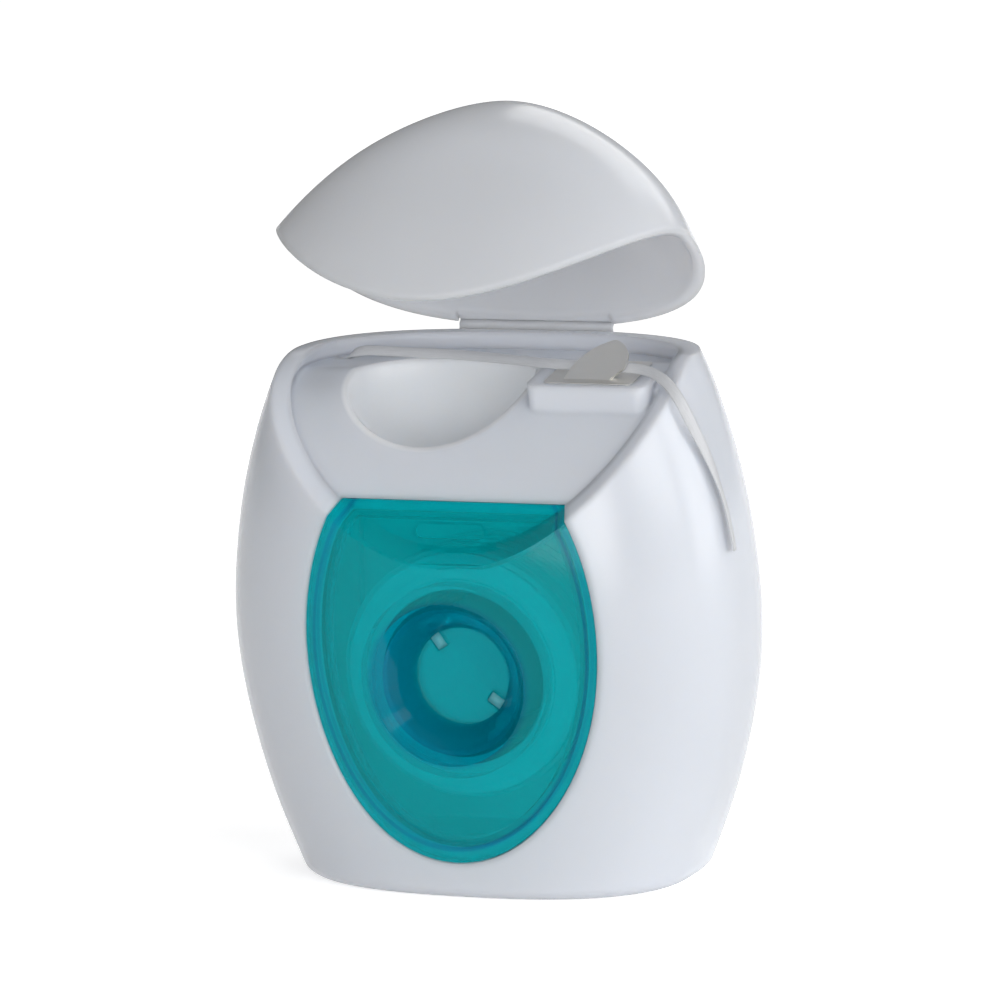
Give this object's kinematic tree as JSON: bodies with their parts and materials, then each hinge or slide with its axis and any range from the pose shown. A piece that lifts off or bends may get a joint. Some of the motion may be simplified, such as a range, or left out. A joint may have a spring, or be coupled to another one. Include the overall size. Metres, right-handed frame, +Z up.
{
  "type": "dental floss dispenser",
  "caption": "Egg-shaped white plastic floss dispenser with a flip-top lid, teal front window, turning bobbin and steel cutter.",
  "frame": {"origin": "middle of the flat base, on the surface that the dispenser stands on", "axes": "+X to the dispenser's right, -Y towards its front window, +Z up"},
  "size_m": [0.0521, 0.0363, 0.0735],
  "materials": {
    "white_plastic": "smooth satin white polypropylene",
    "teal_plastic": "smooth glossy teal",
    "core_plastic": "plain moulded",
    "floss": "waxed flat tape",
    "cutter_steel": "bright rolled sheet"
  },
  "bodies": {
    "case": {"housing": "white_plastic", "hinge_strap": "white_plastic", "front_window": "teal_plastic", "floss_lead": "floss", "floss_tail": "floss", "cutter": "cutter_steel"},
    "lid": {"lid": "white_plastic"},
    "bobbin": {"bobbin_core": "core_plastic", "floss_winding": "floss", "floss_turns": "floss"}
  },
  "joints": [
    {"name": "lid_hinge", "type": "hinge", "parent": "case", "child": "lid", "pos_m": [0, 0.0138, 0.05055], "axis": [-1, 0, 0], "range_deg": [-47, 83], "deforming": ["hinge_strap", "floss_tail"]},
    {"name": "bobbin_spin", "type": "hinge", "parent": "case", "child": "bobbin", "pos_m": [0, 0, 0.021], "axis": [0, 1, 0], "continuous": true}
  ]
}
